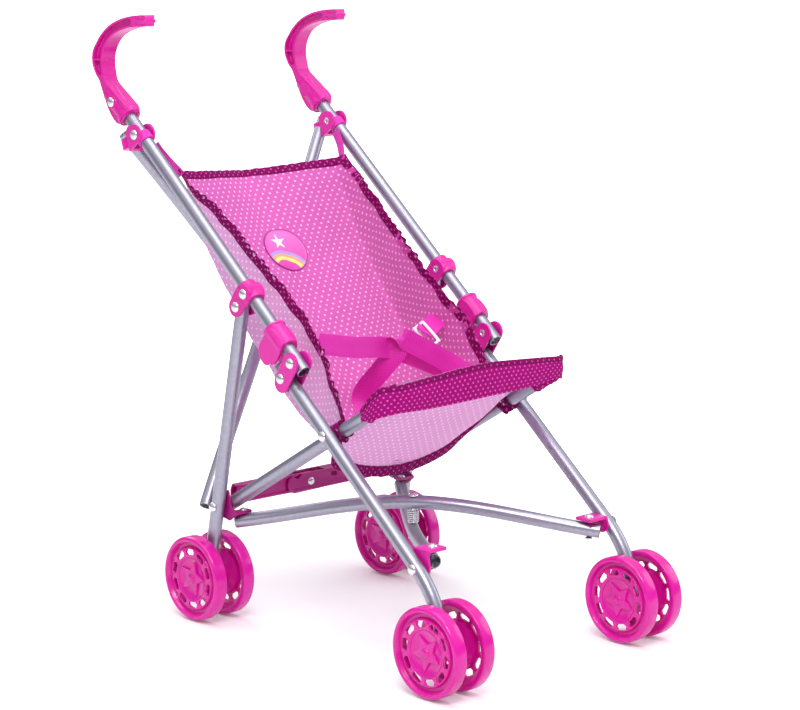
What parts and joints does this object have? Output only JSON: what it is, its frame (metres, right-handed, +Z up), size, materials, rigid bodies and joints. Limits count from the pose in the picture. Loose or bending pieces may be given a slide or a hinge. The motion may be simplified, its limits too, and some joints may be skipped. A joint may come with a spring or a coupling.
{
  "type": "doll stroller",
  "caption": "Folding umbrella doll stroller with paired wheels, hooked grips, crossed tubes and a sling seat of dotted pink cloth",
  "frame": {"origin": "centre of the bounding box's bottom face, on the floor", "axes": "+Z up, the stroller faces -Y; left and right are as seen from the front, so -X is left and +X is right"},
  "size_m": [0.2822, 0.5114, 0.5481],
  "materials": {
    "satin_tube": "satin silver tube",
    "bright_steel": "bright rivets",
    "seat_cloth": "dotted mesh cloth",
    "patch_cloth": "printed patch",
    "hem_cloth": "dark ruffled hem",
    "webbing": "woven webbing",
    "white_plastic": "moulded white",
    "wheel_plastic": "glossy, slightly see-through",
    "pink_plastic": "moulded gloss"
  },
  "bodies": {
    "left_frame": {"left_front_leg": "satin_tube", "left_knuckle_clip": "pink_plastic", "left_fold_pivot_pin": "bright_steel", "left_link_pivot_pin": "bright_steel", "left_front_axle": "bright_steel"},
    "right_frame": {"right_front_leg": "satin_tube", "right_knuckle_clip": "pink_plastic", "right_fold_pivot_pin": "bright_steel", "right_link_pivot_pin": "bright_steel", "right_front_axle": "bright_steel"},
    "left_handle": {"left_handle_tube": "satin_tube", "left_handle_grip": "pink_plastic", "left_rear_leg_saddle": "pink_plastic", "left_saddle_pivot_pin": "bright_steel", "left_seat_back": "seat_cloth", "left_hanging_strap": "hem_cloth", "left_lap_strap": "webbing", "seat_patch": "patch_cloth"},
    "left_lock": {"left_lock_sleeve": "pink_plastic"},
    "left_upper_bracket_body": {"left_upper_bracket": "pink_plastic"},
    "left_back_brace": {"left_back_brace_tube": "satin_tube"},
    "left_rear_leg_body": {"left_rear_leg": "satin_tube", "left_rear_axle": "bright_steel"},
    "left_lower_bracket_body": {"left_lower_bracket": "pink_plastic"},
    "left_lock_brace_body": {"left_lock_brace": "pink_plastic"},
    "left_link": {"left_seat_link": "satin_tube"},
    "left_seat_front": {"left_seat_base": "seat_cloth", "crotch_strap": "webbing", "harness_ring": "white_plastic"},
    "left_scissor_bracket_body": {"left_scissor_bracket": "pink_plastic"},
    "left_scissor": {"left_scissor_tube": "satin_tube", "scissor_nut": "bright_steel"},
    "left_front_outer_wheel_body": {"left_front_outer_wheel": "wheel_plastic"},
    "left_front_inner_wheel_body": {"left_front_inner_wheel": "wheel_plastic"},
    "left_rear_outer_wheel_body": {"left_rear_outer_wheel": "wheel_plastic"},
    "left_rear_inner_wheel_body": {"left_rear_inner_wheel": "wheel_plastic"},
    "right_handle": {"right_handle_tube": "satin_tube", "right_handle_grip": "pink_plastic", "right_rear_leg_saddle": "pink_plastic", "right_saddle_pivot_pin": "bright_steel", "right_seat_back": "seat_cloth", "right_hanging_strap": "hem_cloth", "right_lap_strap": "webbing"},
    "right_lock": {"right_lock_sleeve": "pink_plastic"},
    "right_upper_bracket_body": {"right_upper_bracket": "pink_plastic"},
    "right_back_brace": {"right_back_brace_tube": "satin_tube"},
    "right_rear_leg_body": {"right_rear_leg": "satin_tube", "right_rear_axle": "bright_steel"},
    "right_lower_bracket_body": {"right_lower_bracket": "pink_plastic"},
    "right_lock_brace_body": {"right_lock_brace": "pink_plastic"},
    "right_link": {"right_seat_link": "satin_tube"},
    "right_seat_front": {"right_seat_base": "seat_cloth"},
    "right_scissor_bracket_body": {"right_scissor_bracket": "pink_plastic"},
    "right_scissor": {"right_scissor_tube": "satin_tube", "scissor_bolt": "bright_steel", "scissor_spring": "bright_steel"},
    "right_front_outer_wheel_body": {"right_front_outer_wheel": "wheel_plastic"},
    "right_front_inner_wheel_body": {"right_front_inner_wheel": "wheel_plastic"},
    "right_rear_outer_wheel_body": {"right_rear_outer_wheel": "wheel_plastic"},
    "right_rear_inner_wheel_body": {"right_rear_inner_wheel": "wheel_plastic"}
  },
  "joints": [
    {"name": "spacing", "type": "slide", "parent": "left_frame", "child": "right_frame", "axis": [1, 0, 0], "range_m": [-0.114, 0]},
    {"name": "fold", "type": "hinge", "parent": "left_frame", "child": "left_handle", "pos_m": [-0.118, -0.0321, 0.255], "axis": [1, 0, 0], "range_deg": [0, 120], "deforming": ["left_seat_back", "right_seat_back", "left_seat_base", "right_seat_base", "seat_patch", "left_hanging_strap", "right_hanging_strap", "left_lap_strap", "right_lap_strap", "crotch_strap", "harness_ring", "scissor_spring"]},
    {"name": "left_lock_slide", "type": "slide", "parent": "left_handle", "child": "left_lock", "axis": [0, 0.766, 0.6428], "range_m": [0, 0.025]},
    {"name": "left_upper_bracket_turn", "type": "hinge", "parent": "left_handle", "child": "left_upper_bracket_body", "pos_m": [-0.118, 0.18684, 0.43871], "axis": [1, 0, 0], "range_deg": [-23.45, 0]},
    {"name": "left_back_brace_swing", "type": "hinge", "parent": "left_upper_bracket_body", "child": "left_back_brace", "pos_m": [-0.118, 0.20483, 0.43261], "axis": [0, 0.9472, -0.3208], "range_deg": [0, 17.55]},
    {"name": "left_rear_leg_turn", "type": "hinge", "parent": "left_handle", "child": "left_rear_leg_body", "pos_m": [-0.118, 0.04174, 0.29581], "axis": [1, 0, 0], "range_deg": [-49.07, 0]},
    {"name": "left_lower_bracket_turn", "type": "hinge", "parent": "left_rear_leg_body", "child": "left_lower_bracket_body", "pos_m": [-0.118, 0.0803, 0.106], "axis": [1, 0, 0], "range_deg": [-28.44, 0]},
    {"name": "left_lock_brace_fold", "type": "hinge", "parent": "left_lower_bracket_body", "child": "left_lock_brace_body", "pos_m": [-0.092, 0.088, 0.112], "axis": [0, -1, 0], "range_deg": [0, 67.64]},
    {"name": "left_link_turn", "type": "hinge", "parent": "left_rear_leg_body", "child": "left_link", "pos_m": [-0.118, 0.0803, 0.106], "axis": [1, 0, 0], "range_deg": [-14.29, 0]},
    {"name": "left_seat_front_turn", "type": "hinge", "parent": "left_handle", "child": "left_seat_front", "pos_m": [-0.118, 0.03138, 0.25112], "axis": [1, 0, 0], "range_deg": [-63.36, 0]},
    {"name": "left_scissor_bracket_turn", "type": "hinge", "parent": "left_frame", "child": "left_scissor_bracket_body", "pos_m": [-0.118, -0.18471, 0.10084], "axis": [1, 0, 0], "range_deg": [0, 30.87]},
    {"name": "left_scissor_swing", "type": "hinge", "parent": "left_scissor_bracket_body", "child": "left_scissor", "pos_m": [-0.097, -0.181, 0.1], "axis": [0, 0, 1], "range_deg": [0, 23.27]},
    {"name": "left_front_outer_spin", "type": "hinge", "parent": "left_frame", "child": "left_front_outer_wheel_body", "pos_m": [-0.13455, -0.2169, 0.039], "axis": [1, 0, 0], "continuous": true},
    {"name": "left_front_inner_spin", "type": "hinge", "parent": "left_frame", "child": "left_front_inner_wheel_body", "pos_m": [-0.10145, -0.2169, 0.039], "axis": [1, 0, 0], "continuous": true},
    {"name": "left_rear_outer_spin", "type": "hinge", "parent": "left_rear_leg_body", "child": "left_rear_outer_wheel_body", "pos_m": [-0.13455, 0.0939, 0.039], "axis": [1, 0, 0], "continuous": true},
    {"name": "left_rear_inner_spin", "type": "hinge", "parent": "left_rear_leg_body", "child": "left_rear_inner_wheel_body", "pos_m": [-0.10145, 0.0939, 0.039], "axis": [1, 0, 0], "continuous": true},
    {"name": "right_fold", "type": "hinge", "parent": "right_frame", "child": "right_handle", "pos_m": [0.118, -0.0321, 0.255], "axis": [1, 0, 0], "range_deg": [0, 120]},
    {"name": "right_lock_slide", "type": "slide", "parent": "right_handle", "child": "right_lock", "axis": [0, 0.766, 0.6428], "range_m": [0, 0.025]},
    {"name": "right_upper_bracket_turn", "type": "hinge", "parent": "right_handle", "child": "right_upper_bracket_body", "pos_m": [0.118, 0.18684, 0.43871], "axis": [1, 0, 0], "range_deg": [-23.45, 0]},
    {"name": "right_back_brace_swing", "type": "hinge", "parent": "right_upper_bracket_body", "child": "right_back_brace", "pos_m": [0.118, 0.20483, 0.43261], "axis": [0, 0.9472, -0.3208], "range_deg": [-17.55, 0]},
    {"name": "right_rear_leg_turn", "type": "hinge", "parent": "right_handle", "child": "right_rear_leg_body", "pos_m": [0.118, 0.04174, 0.29581], "axis": [1, 0, 0], "range_deg": [-49.07, 0]},
    {"name": "right_lower_bracket_turn", "type": "hinge", "parent": "right_rear_leg_body", "child": "right_lower_bracket_body", "pos_m": [0.118, 0.0803, 0.106], "axis": [1, 0, 0], "range_deg": [-28.44, 0]},
    {"name": "right_lock_brace_fold", "type": "hinge", "parent": "right_lower_bracket_body", "child": "right_lock_brace_body", "pos_m": [0.092, 0.088, 0.112], "axis": [0, 1, 0], "range_deg": [0, 67.64]},
    {"name": "right_link_turn", "type": "hinge", "parent": "right_rear_leg_body", "child": "right_link", "pos_m": [0.118, 0.0803, 0.106], "axis": [1, 0, 0], "range_deg": [-14.29, 0]},
    {"name": "right_seat_front_turn", "type": "hinge", "parent": "right_handle", "child": "right_seat_front", "pos_m": [0.118, 0.03138, 0.25112], "axis": [1, 0, 0], "range_deg": [-63.36, 0]},
    {"name": "right_scissor_bracket_turn", "type": "hinge", "parent": "right_frame", "child": "right_scissor_bracket_body", "pos_m": [0.118, -0.18471, 0.10084], "axis": [1, 0, 0], "range_deg": [0, 30.87]},
    {"name": "right_scissor_swing", "type": "hinge", "parent": "right_scissor_bracket_body", "child": "right_scissor", "pos_m": [0.097, -0.181, 0.1], "axis": [0, 0, 1], "range_deg": [-23.27, 0]},
    {"name": "right_front_outer_spin", "type": "hinge", "parent": "right_frame", "child": "right_front_outer_wheel_body", "pos_m": [0.13455, -0.2169, 0.039], "axis": [1, 0, 0], "continuous": true},
    {"name": "right_front_inner_spin", "type": "hinge", "parent": "right_frame", "child": "right_front_inner_wheel_body", "pos_m": [0.10145, -0.2169, 0.039], "axis": [1, 0, 0], "continuous": true},
    {"name": "right_rear_outer_spin", "type": "hinge", "parent": "right_rear_leg_body", "child": "right_rear_outer_wheel_body", "pos_m": [0.13455, 0.0939, 0.039], "axis": [1, 0, 0], "continuous": true},
    {"name": "right_rear_inner_spin", "type": "hinge", "parent": "right_rear_leg_body", "child": "right_rear_inner_wheel_body", "pos_m": [0.10145, 0.0939, 0.039], "axis": [1, 0, 0], "continuous": true}
  ],
  "couplings": [
    {"joint": "spacing", "follows": "fold", "m_per_rad": -0.054431},
    {"joint": "left_upper_bracket_turn", "follows": "fold", "ratio": -0.19545},
    {"joint": "left_back_brace_swing", "follows": "fold", "ratio": 0.14623},
    {"joint": "left_rear_leg_turn", "follows": "fold", "ratio": -0.40888},
    {"joint": "left_lower_bracket_turn", "follows": "fold", "ratio": -0.23703},
    {"joint": "left_lock_brace_fold", "follows": "fold", "ratio": 0.56366},
    {"joint": "left_link_turn", "follows": "fold", "ratio": -0.11908},
    {"joint": "left_seat_front_turn", "follows": "fold", "ratio": -0.52797},
    {"joint": "left_scissor_bracket_turn", "follows": "fold", "ratio": 0.25727},
    {"joint": "left_scissor_swing", "follows": "fold", "ratio": 0.19396},
    {"joint": "right_fold", "follows": "fold", "ratio": 1},
    {"joint": "right_upper_bracket_turn", "follows": "fold", "ratio": -0.19545},
    {"joint": "right_back_brace_swing", "follows": "fold", "ratio": -0.14623},
    {"joint": "right_rear_leg_turn", "follows": "fold", "ratio": -0.40888},
    {"joint": "right_lower_bracket_turn", "follows": "fold", "ratio": -0.23703},
    {"joint": "right_lock_brace_fold", "follows": "fold", "ratio": 0.56366},
    {"joint": "right_link_turn", "follows": "fold", "ratio": -0.11908},
    {"joint": "right_seat_front_turn", "follows": "fold", "ratio": -0.52797},
    {"joint": "right_scissor_bracket_turn", "follows": "fold", "ratio": 0.25727},
    {"joint": "right_scissor_swing", "follows": "fold", "ratio": -0.19396}
  ]
}
